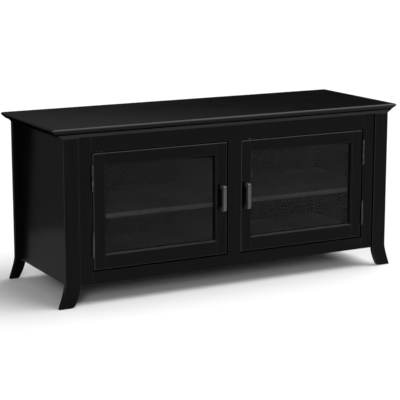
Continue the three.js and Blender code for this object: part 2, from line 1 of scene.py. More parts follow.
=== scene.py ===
import bpy
import bmesh
import json
import math
from mathutils import Euler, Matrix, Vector


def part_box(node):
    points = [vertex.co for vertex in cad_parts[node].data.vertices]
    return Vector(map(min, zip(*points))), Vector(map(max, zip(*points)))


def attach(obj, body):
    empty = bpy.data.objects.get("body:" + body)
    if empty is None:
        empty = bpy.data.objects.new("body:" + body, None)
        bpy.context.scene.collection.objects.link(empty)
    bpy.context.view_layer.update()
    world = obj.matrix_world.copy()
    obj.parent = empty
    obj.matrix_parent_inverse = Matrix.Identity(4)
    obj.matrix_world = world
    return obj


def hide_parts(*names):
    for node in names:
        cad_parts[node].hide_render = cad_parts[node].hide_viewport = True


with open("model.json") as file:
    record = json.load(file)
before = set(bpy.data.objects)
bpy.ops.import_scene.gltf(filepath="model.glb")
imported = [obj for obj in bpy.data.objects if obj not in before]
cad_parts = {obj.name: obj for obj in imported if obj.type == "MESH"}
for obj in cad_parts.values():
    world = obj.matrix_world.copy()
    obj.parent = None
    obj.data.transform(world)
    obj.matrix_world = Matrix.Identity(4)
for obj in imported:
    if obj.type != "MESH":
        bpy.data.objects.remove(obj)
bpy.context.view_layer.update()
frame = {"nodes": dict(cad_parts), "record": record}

# Media cabinet: a low black-lacquered console on sabre feet, with two framed glass doors.
# Metres. +X is to the right, +Y to the back, +Z up, and the floor is at z = 0.
# The right half is modelled, and its pieces are mirrored for the left half.

MM = 0.001

# ---------------------------------------------------------------- sizes of the fine shapes

CUTTER_OVERSHOOT = 5 * MM

RIM_HEIGHT = 6 * MM
FRONT_UNDERCUT = 8 * MM
TOP_EDGE_ROUND = 4.7 * MM
RIM_LOWER_ROUND = 1.2 * MM
BACK_EDGE_ROUND = 0.8 * MM
FLAT_ROUND = 0.36

MOULDING_REACH = 14 * MM
MOULDING_EASE = 0.4 * MM
BEAD_ROUND = 6.5 * MM
HOLLOW_LEVELS = 5
HOLLOW_POWER = 1.8

BOARD_EASE = 1.0 * MM
LEG_EASE = 1.5 * MM
FRAME_EASE = 0.7 * MM
INNER_EASE = 0.8 * MM
BACK_EASE = 0.5 * MM

DOOR_OUTER_ROUND = 4.6 * MM
DOOR_CHAMFER = 5 * MM
DOOR_ARRIS = 0.5 * MM
ARRIS_ANGLE = 40
RAIL_END_PLAY = 0.3 * MM
RAIL_END_PLAIN = 6 * MM
RABBET_WIDTH = 8 * MM
RABBET_FROM_FACE = 9 * MM
GLASS_PLAY = 0.5 * MM
GLASS_EASE = 0.4 * MM
GLAZING_BEAD_ROUND = 2.5 * MM

PULL_BAR = 10 * MM
PULL_FOOT = 12 * MM
PULL_OUTER_ROUND = 8.5 * MM
PULL_INNER_ROUND = 3.6 * MM
PULL_EASE = 1.3 * MM
PULL_SCREW_RADIUS = 3.6 * MM
PULL_SCREW_HEIGHT = 1.8 * MM
PULL_SCREW_ROUND = 0.9 * MM

STRIKE_CORNER = 3 * MM
STRIKE_EASE = 0.2 * MM
CATCH_EASE = 1 * MM
POLE_REACH = 3 * MM
POLE_LEVEL = 3.5 * MM
POLE_THICKNESS = 3 * MM
POLE_INSET = 1 * MM
POLE_GAP = 0.05 * MM
POLE_EASE = 0.3 * MM

KNUCKLES = 5
KNUCKLE_GAP = 0.4 * MM
KNUCKLE_RADIUS = 3.3 * MM
KNUCKLE_BORE = 1.7 * MM
KNUCKLE_CHAMFER = 0.45 * MM
HINGE_PIN_RADIUS = 1.45 * MM
HINGE_PIN_LAP = 0.5 * MM
HINGE_PIN_EASE = 0.2 * MM
TIP_GAP = 0.3 * MM
TIP_ROUND = 0.85 * MM
LEAF_THICKNESS = 1.15 * MM
LEAF_FIT = 0.15 * MM
LEAF_CORNER = 2.5 * MM
LEAF_FROM_BARREL = 0.3 * MM
TAB_FROM_BORE = 0.6 * MM
TAB_LAP = 0.5 * MM
HINGE_SCREW_RADIUS = 2.9 * MM
HINGE_SCREW_DEPTH = 0.6 * MM
HINGE_SCREW_EASE = 0.15 * MM
HINGE_SCREW_BELOW = 0.05 * MM
HINGE_SCREW_PLACES = (-27 * MM, 0, 27 * MM)
SCREW_SINK = 0.7 * MM
SCREW_SINK_PLAY = 0.25 * MM
SCREW_SLOT_WIDTH = 0.9 * MM
SCREW_SLOT_DEPTH = 0.35 * MM
SCREW_SLOT_SHARE = 0.62

SHELF_PIN_RADIUS = 2.5 * MM
SHELF_PIN_END = 0.5 * MM
SHELF_PIN_FLANGE = 3.8 * MM
SHELF_PIN_FLANGE_THICKNESS = 1 * MM
SHELF_PIN_FLANGE_EASE = 0.3 * MM
SHELF_PIN_FLANGE_GAP = 0.3 * MM
SHELF_PIN_HOLE_RADIUS = 2.7 * MM
SHELF_PIN_HOLE_DEPTH = 7.8 * MM
SHELF_PIN_DRILL_START = 2 * MM
SHELF_PIN_PITCH = 32 * MM
SHELF_PIN_ROWS = (-1, 0, 1, 2, 3)

SHELF_NOTCH_WIDTH = 64 * MM
SHELF_NOTCH_DEPTH = 26 * MM
SHELF_NOTCH_CORNER = 8 * MM
CABLE_HOLE_RADIUS = 28 * MM

BRAD_RADIUS = 2 * MM
BRAD_HEIGHT = 0.4 * MM
BRAD_EASE = 0.15 * MM
BRAD_PITCH = 95 * MM
BRAD_INSET = 8 * MM

SMALL_SIDES = 24
BRAD_SIDES = 12
CABLE_HOLE_SIDES = 64

# ---------------------------------------------------------------- camera

CAMERA_PLACE = (-2.1651, -4.0060, 1.1795)
CAMERA_YAW = 28.228
CAMERA_PITCH = 11.653
CAMERA_ROLL = -0.01
CAMERA_LENS = 128.27


def add_camera():
    data = bpy.data.cameras.new("camera")
    data.lens = CAMERA_LENS
    data.sensor_width = 36
    data.clip_start = 0.05
    data.clip_end = 200
    camera = bpy.data.objects.new("camera", data)
    bpy.context.scene.collection.objects.link(camera)
    turn = Euler((0, 0, math.radians(-CAMERA_YAW))).to_matrix()
    tilt = Euler((math.radians(90 - CAMERA_PITCH), 0, 0)).to_matrix()
    roll = Euler((0, 0, math.radians(CAMERA_ROLL))).to_matrix()
    camera.matrix_world = (turn @ tilt @ roll).to_4x4()
    camera.location = CAMERA_PLACE
    bpy.context.scene.camera = camera


add_camera()

# ---------------------------------------------------------------- materials


def new_material(name):
    """A material with its Principled shader, and a short way to add and join nodes."""
    material = bpy.data.materials.new(name)
    material.use_nodes = True
    nodes = material.node_tree.nodes
    links = material.node_tree.links
    shader = nodes["Principled BSDF"]

    def add(kind, **settings):
        node = nodes.new(kind)
        for key, value in settings.items():
            setattr(node, key, value)
        return node

    return material, shader, add, links


def stretched_place(add, links, stretch=(1, 1, 1)):
    """Object coordinates, squeezed along the grain so that what reads them runs with it."""
    place = add("ShaderNodeTexCoord")
    mapping = add("ShaderNodeMapping")
    mapping.inputs["Scale"].default_value = stretch
    links.new(place.outputs["Object"], mapping.inputs["Vector"])
    return mapping.outputs["Vector"]


def noise(add, links, vector, scale, detail, roughness):
    node = add("ShaderNodeTexNoise")
    node.inputs["Scale"].default_value = scale
    node.inputs["Detail"].default_value = detail
    node.inputs["Roughness"].default_value = roughness
    links.new(vector, node.inputs["Vector"])
    return node.outputs["Fac"]


def spread(add, links, value, low, high, start=0.3, end=0.7):
    node = add("ShaderNodeMapRange")
    node.inputs["From Min"].default_value = start
    node.inputs["From Max"].default_value = end
    node.inputs["To Min"].default_value = low
    node.inputs["To Max"].default_value = high
    links.new(value, node.inputs["Value"])
    return node.outputs["Result"]


def blend_colours(add, links, factor, first, second):
    node = add("ShaderNodeMix", data_type="RGBA")
    node.inputs["A"].default_value = (*first, 1)
    node.inputs["B"].default_value = (*second, 1)
    links.new(factor, node.inputs["Factor"])
    return node.outputs["Result"]


def bump(add, links, height, shader, strength, distance, before=None):
    node = add("ShaderNodeBump")
    node.inputs["Strength"].default_value = strength
    node.inputs["Distance"].default_value = distance
    links.new(height, node.inputs["Height"])
    if before:
        links.new(before, node.inputs["Normal"])
    links.new(node.outputs["Normal"], shader.inputs["Normal"])
    return node.outputs["Normal"]


LACQUER_IOR = 1.165
ALONG = {"x": (0.06, 1, 1), "y": (1, 0.06, 1), "z": (1, 1, 0.06)}


def lacquer(name, grain, dark, light, smooth, rough, ior=LACQUER_IOR):
    """Black lacquer over wood: faint pores along the grain, cloudy sheen, a trace of brown."""
    material, shader, add, links = new_material(name)
    along = stretched_place(add, links, ALONG[grain])
    plain = stretched_place(add, links)
    pores = noise(add, links, along, scale=900, detail=3, roughness=0.6)
    figure = noise(add, links, along, scale=60, detail=5, roughness=0.6)
    clouds = noise(add, links, plain, scale=9, detail=3, roughness=0.5)
    links.new(blend_colours(add, links, spread(add, links, figure, 0, 1), dark, light),
              shader.inputs["Base Color"])
    sheen = add("ShaderNodeMath", operation="ADD")
    links.new(spread(add, links, clouds, smooth, rough), sheen.inputs[0])
    links.new(spread(add, links, pores, -0.015, 0.03), sheen.inputs[1])
    links.new(sheen.outputs[0], shader.inputs["Roughness"])
    shader.inputs["IOR"].default_value = ior
    first = bump(add, links, pores, shader, strength=0.2, distance=0.06 * MM)
    bump(add, links, figure, shader, strength=0.08, distance=0.2 * MM, before=first)
    return material


def metal(name, grain, dark, light, smooth, rough, metallic=1):
    """Plated metal with fine brush marks along it and a little handling haze."""
    material, shader, add, links = new_material(name)
    along = stretched_place(add, links, ALONG[grain])
    plain = stretched_place(add, links)
    brushed = noise(add, links, along, scale=2600, detail=2, roughness=0.6)
    haze = noise(add, links, plain, scale=70, detail=4, roughness=0.6)
    links.new(blend_colours(add, links, spread(add, links, haze, 0, 1), dark, light),
              shader.inputs["Base Color"])
    finish = add("ShaderNodeMath", operation="ADD")
    links.new(spread(add, links, haze, smooth, rough), finish.inputs[0])
    links.new(spread(add, links, brushed, -0.04, 0.05), finish.inputs[1])
    links.new(finish.outputs[0], shader.inputs["Roughness"])
    shader.inputs["Metallic"].default_value = metallic
    bump(add, links, brushed, shader, strength=0.2, distance=0.04 * MM)
    return material


def plastic(name, dark, light, rough):
    material, shader, add, links = new_material(name)
    plain = stretched_place(add, links)
    grain = noise(add, links, plain, scale=1500, detail=2, roughness=0.5)
    clouds = noise(add, links, plain, scale=60, detail=3, roughness=0.5)
    links.new(blend_colours(add, links, clouds, dark, light), shader.inputs["Base Color"])
    links.new(spread(add, links, clouds, rough, rough + 0.1), shader.inputs["Roughness"])
    shader.inputs["Specular IOR Level"].default_value = 0.3
    bump(add, links, grain, shader, strength=0.3, distance=0.08 * MM)
    return material


def hardboard(name):
    """Painted hardboard: matt, with the fine mesh of its rough face."""
    material, shader, add, links = new_material(name)
    plain = stretched_place(add, links)
    fibres = noise(add, links, plain, scale=260, detail=3, roughness=0.6)
    clouds = noise(add, links, plain, scale=14, detail=4, roughness=0.6)
    links.new(blend_colours(add, links, spread(add, links, clouds, 0, 1),
                            (0.010, 0.0095, 0.009), (0.017, 0.016, 0.0145)),
              shader.inputs["Base Color"])
    links.new(spread(add, links, fibres, 0.68, 0.8), shader.inputs["Roughness"])
    shader.inputs["Specular IOR Level"].default_value = 0.15
    bump(add, links, fibres, shader, strength=0.05, distance=0.1 * MM)
    return material


def clear_glass(name):
    """Thin door glass: mostly see-through, with a weak mirror that grows at a slant."""
    material, shader, add, links = new_material(name)
    shader.inputs["Base Color"].default_value = (0.9, 0.9, 0.9, 1)
    shader.inputs["Metallic"].default_value = 1
    plain = stretched_place(add, links)
    smears = noise(add, links, plain, scale=12, detail=4, roughness=0.6)
    links.new(spread(add, links, smears, 0.02, 0.10), shader.inputs["Roughness"])
    clear = add("ShaderNodeBsdfTransparent")
    clear.inputs["Color"].default_value = (0.90, 0.91, 0.905, 1)
    slant = add("ShaderNodeFresnel")
    slant.inputs["IOR"].default_value = 1.18
    mix = add("ShaderNodeMixShader")
    links.new(slant.outputs[0], mix.inputs["Fac"])
    links.new(clear.outputs[0], mix.inputs[1])
    links.new(shader.outputs[0], mix.inputs[2])
    links.new(mix.outputs[0], material.node_tree.nodes["Material Output"].inputs["Surface"])
    return material


BLACK = (0.0009, 0.0009, 0.0010)
BLACK_LIT = (0.0027, 0.0024, 0.0022)
# Edge colours: lighter than the black faces, partly rubbed wear on the arrises and partly a painted
# highlight along the rounded edges.
RUBBED_AND_HIGHLIGHT_LOW = (0.0040, 0.0034, 0.0030)
RUBBED_AND_HIGHLIGHT_HIGH = (0.0085, 0.0068, 0.0056)
# Interior colours: much lighter than the outside black, painted light standing in for light that reaches
# the inside of the bays.
INNER_PAINTED_LIGHT_LOW = (0.0240, 0.0232, 0.0230)
INNER_PAINTED_LIGHT_HIGH = (0.0380, 0.0362, 0.0350)
EDGE_IOR = 1.32
INNER_IOR = 1.25

LACQUER = {
    grain: lacquer(f"black_lacquer_{grain}", grain, BLACK, BLACK_LIT, 0.12, 0.19)
    for grain in "xz"
}
TOP_LACQUER = lacquer("polished_top_lacquer", "x", BLACK, BLACK_LIT, 0.045, 0.075)
# Edge lacquer for the roundings: rubbed wear plus a painted highlight, with a lighter colour and a stronger
# mirror (EDGE_IOR) than the faces.
EDGE_WEAR_AND_HIGHLIGHT = {
    grain: lacquer(f"rubbed_edge_{grain}", grain, RUBBED_AND_HIGHLIGHT_LOW, RUBBED_AND_HIGHLIGHT_HIGH, 0.16, 0.26, EDGE_IOR)
    for grain in "xz"
}
# Inside lacquer for the carcass, shelves and rails; its lighter colour is painted light for the bays.
INNER_LACQUER_PAINTED_LIGHT = {
    grain: lacquer(f"inner_lacquer_{grain}", grain, INNER_PAINTED_LIGHT_LOW, INNER_PAINTED_LIGHT_HIGH, 0.34, 0.46, INNER_IOR)
    for grain in "xz"
}
HARDBOARD = hardboard("painted_hardboard")
PEWTER = metal("brushed_pewter", "z", (0.060, 0.058, 0.056), (0.088, 0.085, 0.082), 0.28, 0.4, 0.5)
HINGE_STEEL = metal("hinge_steel", "z", (0.055, 0.054, 0.052), (0.090, 0.087, 0.083), 0.24, 0.36)
NICKEL = metal("pin_nickel", "y", (0.30, 0.29, 0.27), (0.42, 0.41, 0.39), 0.2, 0.32)
CATCH_PLASTIC = plastic("catch_plastic", (0.012, 0.011, 0.010), (0.02, 0.018, 0.017), 0.4)
GLASS = clear_glass("door_glass")

# ---------------------------------------------------------------- shaping by hand


def deselect_all():
    bpy.ops.object.select_all(action="DESELECT")


def take(piece):
    deselect_all()
    piece.select_set(True)
    bpy.context.view_layer.objects.active = piece


def set_in_place(piece):
    """Puts the piece's place, turn and scale into its mesh."""
    take(piece)
    bpy.ops.object.transform_apply(location=True, rotation=True, scale=True)


def blank(low, high, name):
    """A sawn blank between two corners."""
    deselect_all()
    low, high = Vector(low), Vector(high)
    bpy.ops.mesh.primitive_cube_add(size=1, location=(low + high) / 2, scale=high - low)
    piece = bpy.context.object
    piece.name = name
    set_in_place(piece)
    return piece


def rod(radius, start, end, axis, sides, name):
    """A round rod between two points that differ along one axis."""
    deselect_all()
    start, end = Vector(start), Vector(end)
    turn = {"x": (0, math.pi / 2, 0), "y": (math.pi / 2, 0, 0), "z": (0, 0, 0)}[axis]
    bpy.ops.mesh.primitive_cylinder_add(
        vertices=sides, radius=radius, depth=(end - start).length,
        location=(start + end) / 2, rotation=turn,
    )
    piece = bpy.context.object
    piece.name = name
    set_in_place(piece)
    return piece


def edit(piece, mode="EDGE"):
    take(piece)
    bpy.ops.object.mode_set(mode="EDIT")
    bpy.ops.mesh.select_mode(type=mode)
    bpy.ops.mesh.select_all(action="DESELECT")


def pick(piece, kind, test):
    """Selects the vertices, edges or faces that pass a test, in edit mode."""
    mesh = bmesh.from_edit_mesh(piece.data)
    for item in getattr(mesh, kind):
        item.select = bool(test(item))
    mesh.select_flush_mode()
    bmesh.update_edit_mesh(piece.data)


def done():
    bpy.ops.object.mode_set(mode="OBJECT")


def middle(edge):
    return (edge.verts[0].co + edge.verts[1].co) / 2


def near(value, target, slack=0.02 * MM):
    return abs(value - target) < slack


def along(edge, axis):
    direction = (edge.verts[1].co - edge.verts[0].co).normalized()
    return abs(direction["xyz".index(axis)]) > 0.99


def placed(point, places):
    """True if a point has the given coordinates. A tuple of places allows any of them."""
    for axis, place in places.items():
        options = place if isinstance(place, tuple) else (place,)
        if not any(near(getattr(point, axis), option) for option in options):
            return False
    return True


def edges(run=None, **places):
    """A test for edges that run along an axis and have their middle at the given places."""
    return lambda edge: (run is None or along(edge, run)) and placed(middle(edge), places)


def points(**places):
    """A test for corner points at the given places."""
    return lambda vert: placed(vert.co, places)


def round_edges(piece, test, radius, segments=3, paint=-1, fullness=0.5):
    """Rounds chosen edges. `paint` is the material slot of the rounding, and a fullness of 0.5 a circle."""
    edit(piece)
    pick(piece, "edges", test)
    bpy.ops.mesh.bevel(offset=radius, offset_type="OFFSET", segments=segments,
                       affect="EDGES", clamp_overlap=True, material=paint, profile=fullness)
    done()


def slice_at(piece, place, normal):
    """Adds an edge loop where a plane meets the piece."""
    edit(piece, "FACE")
    bpy.ops.mesh.select_all(action="SELECT")
    bpy.ops.mesh.bisect(plane_co=place, plane_no=normal)
    done()


def move_points(piece, test, shift):
    edit(piece, "VERT")
    pick(piece, "verts", test)
    bpy.ops.transform.translate(value=shift)
    done()


def pull_faces(piece, test, shift):
    """Extrudes chosen faces by a shift."""
    edit(piece, "FACE")
    pick(piece, "faces", test)
    bpy.ops.mesh.extrude_region_move(TRANSFORM_OT_translate={"value": shift})
    done()


def ease(piece, radius, segments=2, angle=40, paint=-1):
    """Eases every arris sharper than an angle."""
    take(piece)
    bpy.ops.object.modifier_add(type="BEVEL")
    bevel = piece.modifiers[-1]
    bevel.width = radius
    bevel.segments = segments
    bevel.limit_method = "ANGLE"
    bevel.angle_limit = math.radians(angle)
    bevel.use_clamp_overlap = True
    bevel.material = paint
    bpy.ops.object.modifier_apply(modifier=bevel.name)


def combine(piece, tools, operation):
    """Joins tools to a piece or cuts them out of it, and uses the tools up."""
    for tool in tools:
        take(piece)
        bpy.ops.object.modifier_add(type="BOOLEAN")
        boolean = piece.modifiers[-1]
        boolean.operation = operation
        boolean.solver = "EXACT"
        boolean.object = tool
        bpy.ops.object.modifier_apply(modifier=boolean.name)
        bpy.data.objects.remove(tool, do_unlink=True)


def gather(piece, others):
    """Makes several separate solids one piece."""
    deselect_all()
    for other in others:
        other.select_set(True)
    piece.select_set(True)
    bpy.context.view_layer.objects.active = piece
    bpy.ops.object.join()


def turned(name, start, end, inner, outer, corner, sides=32, segments=2):
    """A ring or a solid of revolution, spun from its half section, with rounded outer corners."""
    deselect_all()
    start, end = Vector(start), Vector(end)
    length = (end - start).length
    bpy.ops.mesh.primitive_plane_add(size=1, location=((inner + outer) / 2, 0, length / 2),
                                     rotation=(math.pi / 2, 0, 0))
    piece = bpy.context.object
    piece.name = name
    piece.scale = (outer - inner, length, 1)
    set_in_place(piece)
    edit(piece, "VERT")
    pick(piece, "verts", points(x=outer))
    bpy.ops.mesh.bevel(offset=corner, segments=segments, affect="VERTICES")
    bpy.ops.mesh.select_all(action="SELECT")
    bpy.ops.mesh.spin(steps=sides, angle=2 * math.pi, center=(0, 0, 0), axis=(0, 0, 1))
    bpy.ops.mesh.select_all(action="SELECT")
    bpy.ops.mesh.remove_doubles(threshold=0.002 * MM)
    bpy.ops.mesh.dissolve_degenerate(threshold=0.001 * MM)
    bpy.ops.mesh.normals_make_consistent(inside=False)
    done()
    aim = (end - start).normalized()
    piece.rotation_mode = "QUATERNION"
    piece.rotation_quaternion = Vector((0, 0, 1)).rotation_difference(aim)
    piece.location = start
    set_in_place(piece)
    piece.rotation_mode = "XYZ"
    return piece


def smooth(piece, angle=35):
    """Smooth shading whose broad faces stay flat."""
    take(piece)
    bpy.ops.object.shade_smooth_by_angle(angle=math.radians(angle))
    bpy.ops.object.modifier_add(type="WEIGHTED_NORMAL")
    normals = piece.modifiers[-1]
    normals.keep_sharp = True
    normals.weight = 80
    bpy.ops.object.modifier_apply(modifier=normals.name)


def dress(piece, *materials):
    piece.data.materials.clear()
    for material in materials:
        piece.data.materials.append(material)


def mirrored(piece, name):
    """A copy of a piece on the other side of the middle, with its own mesh."""
    twin = piece.copy()
    twin.data = piece.data.copy()
    twin.name = name
    bpy.context.scene.collection.objects.link(twin)
    twin.scale = (-1, 1, 1)
    set_in_place(twin)
    edit(twin, "FACE")
    bpy.ops.mesh.select_all(action="SELECT")
    bpy.ops.mesh.normals_make_consistent(inside=False)
    done()
    return twin


def register(piece, body, slot, *nodes):
    smooth(piece)
    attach(piece, body)
    if nodes:
        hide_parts(*nodes)


def register_pair(piece, name, body, slot, *nodes):
    """Registers a right-hand piece and its mirrored twin. `*` stands for left or right."""
    twin = mirrored(piece, name.replace("*", "left"))
    piece.name = name.replace("*", "right")
    for side, one in (("right", piece), ("left", twin)):
        register(one, body.replace("*", side), slot, *[node.replace("*", side) for node in nodes])


# ---------------------------------------------------------------- top and mouldings


def span(node):
    low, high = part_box(node)
    return Vector(low), Vector(high)


def opening(name):
    for opening in frame["record"]["physics"]["openings"]:
        if opening["name"] == name:
            low, high = opening["box_m"]
            return Vector(low), Vector(high)
    raise KeyError(name)


def make_top():
    """A board with a thin rim, bevelled back below it to the mouldings at the front and sides."""
    low, high = span("top_board")
    moulding_high = span("moulding_front")[1]
    rim_bottom = high.z - RIM_HEIGHT
    board = blank((low.x, low.y, rim_bottom), high, "cabinet_top")
    dress(board, TOP_LACQUER, EDGE_WEAR_AND_HIGHLIGHT["x"])
    pull_faces(board, lambda face: face.normal.z < -0.9, (0, 0, low.z - rim_bottom))
    side_undercut = high.x - moulding_high.x
    for sign, side in ((-1, low.x), (1, high.x)):
        move_points(board, points(x=side, z=low.z), (-sign * side_undercut, 0, 0))
    move_points(board, points(y=low.y, z=low.z), (0, FRONT_UNDERCUT, 0))
    front_rim = edges("x", y=low.y, z=high.z)
    side_rims = edges("y", x=(low.x, high.x), z=high.z)
    round_edges(board, lambda edge: front_rim(edge) or side_rims(edge), TOP_EDGE_ROUND, 5, paint=1,
                fullness=FLAT_ROUND)
    round_edges(board, edges(z=rim_bottom), RIM_LOWER_ROUND, 3, paint=1)
    round_edges(board, edges(y=high.y, z=high.z), BACK_EDGE_ROUND, 2, paint=1)
    register(board, "cabinet", "lacquered_wood", "top_board")


def hollow(down, depth):
    """How far a moulding's hollow face stands out at a share of its height below the top."""
    return depth * (1 - down) ** HOLLOW_POWER


def hollow_out(piece, low, high, foot, signs):
    """Pulls a moulding's ends or side outwards in a hollow curve towards the top."""
    for level in range(1, HOLLOW_LEVELS):
        slice_at(piece, (0, 0, low.z + (high.z - low.z) * level / HOLLOW_LEVELS), (0, 0, 1))
    for level in range(1, HOLLOW_LEVELS + 1):
        height = low.z + (high.z - low.z) * level / HOLLOW_LEVELS
        shift = hollow(1 - level / HOLLOW_LEVELS, MOULDING_REACH)
        for sign in signs:
            move_points(piece, points(x=sign * foot, z=height), (sign * shift, 0, 0))


def make_mouldings():
    low, high = span("moulding_front")
    side_low, side_high = span("moulding_right")
    foot = high.x - MOULDING_REACH
    front = blank((-foot, low.y, low.z), (foot, high.y, high.z), "front_moulding")
    # The whole front moulding takes the lighter edge lacquer: a painted highlight that makes the light line
    # under the top's front edge.
    dress(front, EDGE_WEAR_AND_HIGHLIGHT["x"], EDGE_WEAR_AND_HIGHLIGHT["x"])
    hollow_out(front, low, high, foot, (-1, 1))
    round_edges(front, edges(y=low.y, z=high.z), BEAD_ROUND, 6, paint=1)
    ease(front, MOULDING_EASE, 2, 60)
    register(front, "cabinet", "lacquered_wood", "moulding_front")
    side = blank(side_low, (foot, side_high.y, side_high.z), "side_moulding")
    dress(side, LACQUER["x"], EDGE_WEAR_AND_HIGHLIGHT["x"])
    hollow_out(side, side_low, side_high, foot, (1,))
    ease(side, MOULDING_EASE, 2, 60)
    register_pair(side, "*_moulding", "cabinet", "lacquered_wood", "moulding_*")


make_top()
make_mouldings()

# ---------------------------------------------------------------- legs, panels and frame


def copy_of(node, name):
    """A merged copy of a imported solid, with its flat faces made whole."""
    source = frame["nodes"][node]
    piece = source.copy()
    piece.data = source.data.copy()
    piece.animation_data_clear()
    for key in list(piece.keys()):
        del piece[key]
    piece.name = name
    bpy.context.scene.collection.objects.link(piece)
    edit(piece, "VERT")
    bpy.ops.mesh.select_all(action="SELECT")
    bpy.ops.mesh.remove_doubles(threshold=0.01 * MM)
    bpy.ops.mesh.dissolve_limited(angle_limit=math.radians(0.5))
    done()
    return piece


def make_legs():
    for end in ("front", "rear"):
        leg = copy_of(f"leg_{end}_right", "leg")
        dress(leg, LACQUER["z"], EDGE_WEAR_AND_HIGHLIGHT["z"])
        ease(leg, LEG_EASE, 3, 50, paint=1)
        register_pair(leg, f"{end}_leg_*", "cabinet", "lacquered_wood", f"leg_{end}_*")


def board(node, name, grain, radius, inner=False):
    finish = INNER_LACQUER_PAINTED_LIGHT[grain] if inner else LACQUER[grain]
    edge = INNER_LACQUER_PAINTED_LIGHT[grain] if inner else EDGE_WEAR_AND_HIGHLIGHT[grain]
    piece = blank(*span(node), name)
    dress(piece, finish, edge)
    ease(piece, radius, 2, 40, paint=1)
    return piece


def pin_holes(wall, into):
    """The rods that drill a wall's two rows of shelf pin holes."""
    rods = []
    low, high = span("shelf_pin_right_front_inner")
    in_use = (low.z + high.z) / 2
    for row in ("front", "back"):
        low, high = span(f"shelf_pin_right_{row}_inner")
        depth = (low.y + high.y) / 2
        for step in SHELF_PIN_ROWS:
            height = in_use + step * SHELF_PIN_PITCH
            ends = [(wall - into * SHELF_PIN_DRILL_START, depth, height),
                    (wall + into * SHELF_PIN_HOLE_DEPTH, depth, height)]
            rods.append(rod(SHELF_PIN_HOLE_RADIUS, *sorted(ends), "x", SMALL_SIDES, "drill"))
    return rods


def make_carcass():
    low, high = span("side_panel_right")
    side = board("side_panel_right", "side", "z", BOARD_EASE)
    combine(side, pin_holes(low.x, 1), "DIFFERENCE")
    register_pair(side, "side_*", "cabinet", "lacquered_wood", "side_panel_*")

    low, high = span("centre_partition")
    partition = board("centre_partition", "partition", "z", INNER_EASE, inner=True)
    combine(partition, pin_holes(high.x, -1) + pin_holes(low.x, 1), "DIFFERENCE")
    register(partition, "cabinet", "inner_wood", "centre_partition")

    for node, grain in (("frame_top_rail", "x"), ("frame_bottom_rail", "x"),
                        ("frame_centre_stile", "z")):
        piece = board(node, node.replace("frame", "face_frame"), grain, FRAME_EASE)
        register(piece, "cabinet", "lacquered_wood", node)
    stile = board("frame_stile_right", "stile", "z", FRAME_EASE)
    register_pair(stile, "face_frame_stile_*", "cabinet", "lacquered_wood", "frame_stile_*")

    for node, grain in (("bottom_board", "x"), ("rear_rail_lower", "x"), ("rear_rail_upper", "x")):
        piece = board(node, f"{node}_lacquered", grain, INNER_EASE, inner=True)
        register(piece, "cabinet", "inner_wood", node)


def make_back():
    low, high = span("back_panel")
    panel = blank(low, high, "back_sheet")
    dress(panel, HARDBOARD)
    hole_low, hole_high = opening("cable_hole_right")
    across = (hole_low.x + hole_high.x) / 2
    height = (hole_low.z + hole_high.z) / 2
    drills = []
    for sign in (-1, 1):
        start = (sign * across, low.y - CUTTER_OVERSHOOT, height)
        end = (sign * across, high.y + CUTTER_OVERSHOOT, height)
        drills.append(rod(CABLE_HOLE_RADIUS, start, end, "y", CABLE_HOLE_SIDES, "drill"))
    combine(panel, drills, "DIFFERENCE")
    ease(panel, BACK_EASE, 2, 50)
    register(panel, "cabinet", "hardboard", "back_panel")


def make_back_brads():
    """A row of flat brads round the back sheet, one shape copied along its edges."""
    low, high = span("back_panel")
    brad = rod(BRAD_RADIUS, (0, high.y, 0), (0, high.y + BRAD_HEIGHT, 0), "y", BRAD_SIDES, "brad")
    ease(brad, BRAD_EASE, 1, 50)
    left, right = low.x + BRAD_INSET, high.x - BRAD_INSET
    bottom, top = low.z + BRAD_INSET, high.z - BRAD_INSET
    across, up = round((right - left) / BRAD_PITCH), round((top - bottom) / BRAD_PITCH)
    places = [(left + (right - left) * step / across, z) for step in range(across + 1)
              for z in (bottom, top)]
    places += [(x, bottom + (top - bottom) * step / up) for step in range(1, up)
               for x in (left, 0, right)]
    brads = []
    for x, z in places:
        copy = brad.copy()
        copy.data = brad.data.copy()
        bpy.context.scene.collection.objects.link(copy)
        copy.location = (x, 0, z)
        set_in_place(copy)
        brads.append(copy)
    bpy.data.objects.remove(brad, do_unlink=True)
    gather(brads[0], brads[1:])
    brads[0].name = "back_brads"
    dress(brads[0], HINGE_STEEL)
    register(brads[0], "cabinet", "hinge_steel")


make_legs()
make_carcass()
make_back()
make_back_brads()

# ---------------------------------------------------------------- shelves and pins


def make_shelves():
    low, high = span("shelf_right")
    shelf = blank(low, high, "shelf")
    dress(shelf, INNER_LACQUER_PAINTED_LIGHT["x"], EDGE_WEAR_AND_HIGHLIGHT["x"])
    across = sum(corner.x for corner in opening("shelf_notch_right")) / 2
    notch_front = high.y - SHELF_NOTCH_DEPTH
    over = CUTTER_OVERSHOOT
    notch = blank((across - SHELF_NOTCH_WIDTH / 2, notch_front, low.z - over),
                  (across + SHELF_NOTCH_WIDTH / 2, high.y + over, high.z + over), "cutter")
    combine(shelf, [notch], "DIFFERENCE")
    round_edges(shelf, edges("z", y=notch_front), SHELF_NOTCH_CORNER, 5)
    ease(shelf, INNER_EASE, 3, 50, paint=1)
    register_pair(shelf, "shelf_board_*", "cabinet", "inner_wood", "shelf_*")


